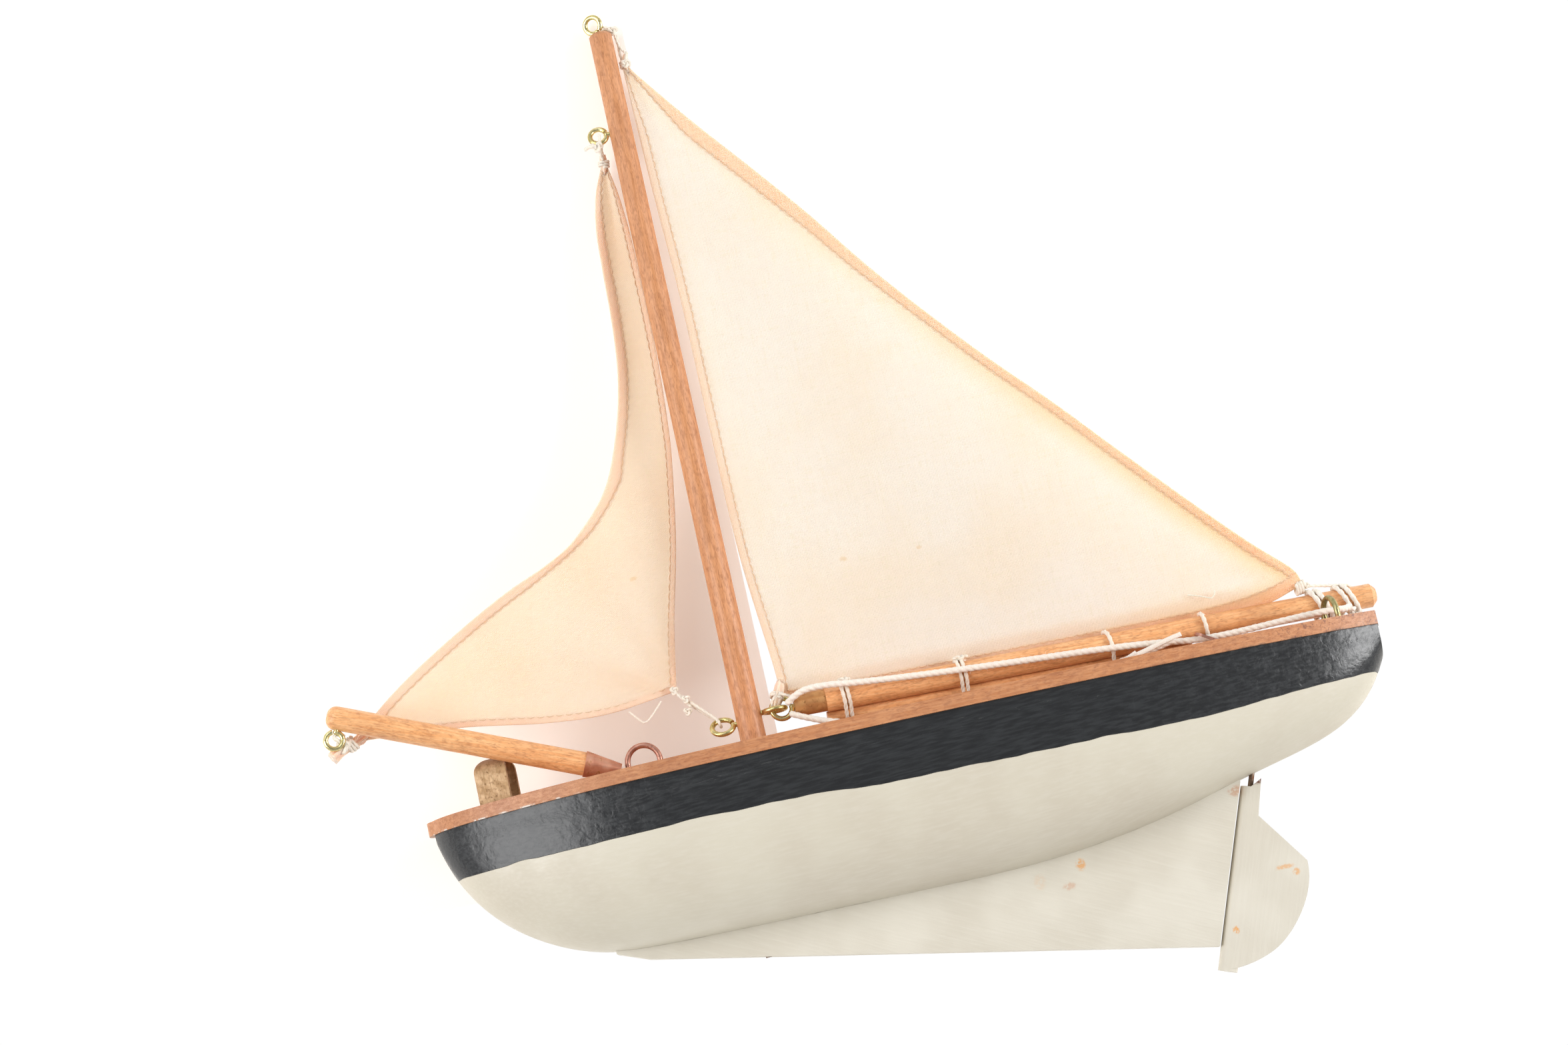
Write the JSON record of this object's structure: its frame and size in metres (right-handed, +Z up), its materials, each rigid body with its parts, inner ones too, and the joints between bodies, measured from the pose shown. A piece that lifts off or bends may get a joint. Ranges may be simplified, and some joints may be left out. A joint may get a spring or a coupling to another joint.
{
  "type": "toy sailing boat",
  "caption": "Wooden toy pond yacht with a round-bilged hull, keel fin and turning rudder, one mast, a swinging boom, a hinged bowsprit, and cotton mainsail and jib.",
  "frame": {"origin": "on the keel's sloping foot, straight under the mast", "axes": "+Z up along the mast, +X aft (the bow is at -X), +Y to starboard"},
  "size_m": [0.2759, 0.0606, 0.2857],
  "materials": {
    "hull_paint": "brushed gloss enamel: black topsides, cream below the waterline",
    "fin_paint": "cream enamel, hand painted, small rust marks",
    "deck_wood": "varnished reddish wood, worn on the edge",
    "mast_wood": "varnished dowel with short flecks",
    "spar_wood": "varnished golden dowel",
    "bare_wood": "unfinished pine",
    "eye_brass": "polished olive-gold wire",
    "strap_brass": "dulled brass strip",
    "aged_brass": "greenish tarnished wire",
    "copper": "dull copper",
    "steel": "rusty mild steel",
    "sail_cotton": "plain-weave cotton lawn, stitched hems",
    "thread": "cotton sewing thread",
    "cord_cotton": "three-strand cotton cord"
  },
  "bodies": {
    "hull": {"hull": "hull_paint", "deck": "deck_wood", "keel_fin": "fin_paint", "keel_nails": "steel", "mast_step": "bare_wood", "mast": "mast_wood", "masthead_eye": "eye_brass", "mast_fore_upper_eye": "eye_brass", "mast_fore_lower_eye": "eye_brass", "mast_aft_eye": "eye_brass", "gammon_strap": "strap_brass", "fore_staple": "copper", "stern_staple": "aged_brass", "rudder_pin": "steel", "jib_sail": "sail_cotton", "jib_head_tie": "thread", "jib_clew_tie": "thread", "main_head_tie": "thread", "sheet_tail": "cord_cotton"},
    "rudder": {"rudder": "fin_paint"},
    "boom": {"boom_spar": "spar_wood", "boom_ferrule": "strap_brass", "boom_eye": "eye_brass", "lower_spar": "spar_wood", "foot_ties": "thread", "boom_end_lashing": "cord_cotton", "main_sail": "sail_cotton", "main_tack_tie": "thread", "main_clew_tie": "thread", "main_sheet": "cord_cotton", "sheet_slider": "copper"},
    "bowsprit": {"bowsprit_spar": "spar_wood", "bowsprit_ferrule": "copper", "bowsprit_eye": "eye_brass", "jib_tack_tie": "thread"}
  },
  "joints": [
    {"name": "boom_swing", "type": "hinge", "parent": "hull", "child": "boom", "pos_m": [0.007, 0, 0.0636], "axis": [0, 0, 1], "range_deg": [-1, 60], "deforming": ["main_sheet", "main_head_tie"]},
    {"name": "rudder_turn", "type": "hinge", "parent": "hull", "child": "rudder", "pos_m": [0.11519, 0, -0.00201], "axis": [0.3485, 0, 0.9373], "range_deg": [-30, 30]},
    {"name": "bowsprit_lift", "type": "hinge", "parent": "hull", "child": "bowsprit", "pos_m": [-0.0353, -0.001, 0.0567], "axis": [-0.1537, 0.9881, 0], "range_deg": [0, 35], "deforming": ["jib_sail"]}
  ]
}
